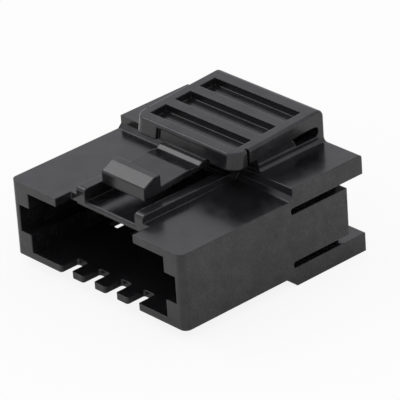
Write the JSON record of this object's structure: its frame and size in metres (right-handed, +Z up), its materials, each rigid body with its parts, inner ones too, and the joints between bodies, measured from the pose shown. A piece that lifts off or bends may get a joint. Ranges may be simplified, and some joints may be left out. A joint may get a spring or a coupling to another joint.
{
  "type": "wire to board connector housing",
  "caption": "Black moulded connector housing with an open keyed hood at the front, a ramped latch arm with a ribbed thumb pad on top, and terminal cavities and flanges at the wire side.",
  "frame": {"origin": "under the middle of the bounding box, at the level of the lower flange's underside", "axes": "+X across the housing, to the right seen from the mating face; +Y from the mating face to the wire side; +Z up, towards the latch"},
  "size_m": [0.019, 0.0186, 0.0108],
  "materials": {
    "housing_plastic": "black moulded plastic with a fine matt texture"
  },
  "bodies": {
    "root": {"housing": "housing_plastic"}
  },
  "joints": []
}
